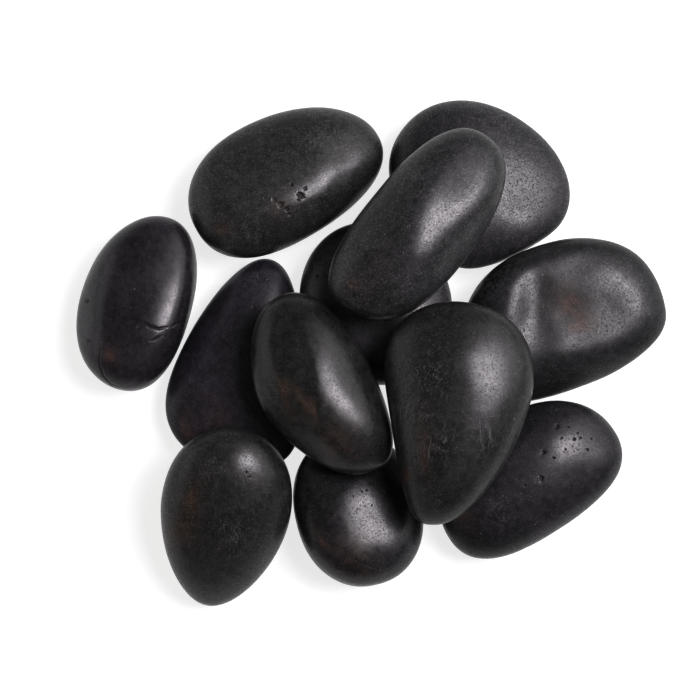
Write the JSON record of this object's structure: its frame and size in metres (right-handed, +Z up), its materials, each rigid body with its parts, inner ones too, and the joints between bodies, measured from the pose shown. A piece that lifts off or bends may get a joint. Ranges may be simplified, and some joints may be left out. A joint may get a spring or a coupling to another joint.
{
  "type": "hot massage stone set",
  "caption": "Loose heap of smooth polished black basalt massage stones, flattened ovals, beans and pears, some lying on the others.",
  "frame": {"origin": "on the table, under the middle of the heap's box", "axes": "+X along the heap's longest side, +Y towards the back, +Z up from the table"},
  "size_m": [0.2012, 0.1732, 0.0523],
  "materials": {
    "black_basalt": "satin polish with fine grain, small pits and hairline cracks",
    "grey_basalt": "satin polish, coarser grain, faint rust stains",
    "blue_black_basalt": "smooth satin polish with few pale specks"
  },
  "bodies": {
    "core_stone": {"core_stone": "black_basalt"},
    "back_left_stone": {"back_left_stone": "black_basalt"},
    "left_stone": {"left_stone": "black_basalt"},
    "inner_left_stone": {"inner_left_stone": "blue_black_basalt"},
    "back_right_stone": {"back_right_stone": "grey_basalt"},
    "right_stone": {"right_stone": "grey_basalt"},
    "front_left_stone": {"front_left_stone": "black_basalt"},
    "front_stone": {"front_stone": "black_basalt"},
    "front_right_stone": {"front_right_stone": "black_basalt"},
    "upper_back_stone": {"upper_back_stone": "black_basalt"},
    "upper_left_stone": {"upper_left_stone": "black_basalt"},
    "upper_right_stone": {"upper_right_stone": "black_basalt"}
  },
  "joints": [
    {"name": "back_left_lift", "type": "slide", "parent": "core_stone", "child": "back_left_stone", "axis": [-0.3596, 0.6764, 0.6428], "range_m": [0, 0.07]},
    {"name": "left_lift", "type": "slide", "parent": "core_stone", "child": "left_stone", "axis": [-0.8529, 0.1504, 0.5], "range_m": [0, 0.07]},
    {"name": "inner_left_lift", "type": "slide", "parent": "core_stone", "child": "inner_left_stone", "axis": [-0.1066, -0.7586, 0.6428], "range_m": [0, 0.07]},
    {"name": "back_right_pull", "type": "slide", "parent": "core_stone", "child": "back_right_stone", "axis": [0.5649, 0.8067, 0.1736], "range_m": [0, 0.07]},
    {"name": "right_pull", "type": "slide", "parent": "core_stone", "child": "right_stone", "axis": [0.9568, 0.2034, 0.2079], "range_m": [0, 0.07]},
    {"name": "front_left_lift", "type": "slide", "parent": "inner_left_stone", "child": "front_left_stone", "axis": [-0.4698, -0.8138, 0.342], "range_m": [0, 0.07]},
    {"name": "front_pull", "type": "slide", "parent": "core_stone", "child": "front_stone", "axis": [0, -0.9903, 0.1392], "range_m": [0, 0.07]},
    {"name": "front_right_pull", "type": "slide", "parent": "core_stone", "child": "front_right_stone", "axis": [0.7319, -0.659, 0.1736], "range_m": [0, 0.07]},
    {"name": "upper_back_lift", "type": "slide", "parent": "core_stone", "child": "upper_back_stone", "axis": [0, 0, 1], "range_m": [0, 0.06]},
    {"name": "upper_left_lift", "type": "slide", "parent": "inner_left_stone", "child": "upper_left_stone", "axis": [-0.3368, -0.0594, 0.9397], "range_m": [0, 0.06]},
    {"name": "upper_right_lift", "type": "slide", "parent": "core_stone", "child": "upper_right_stone", "axis": [0, 0, 1], "range_m": [0, 0.06]}
  ]
}
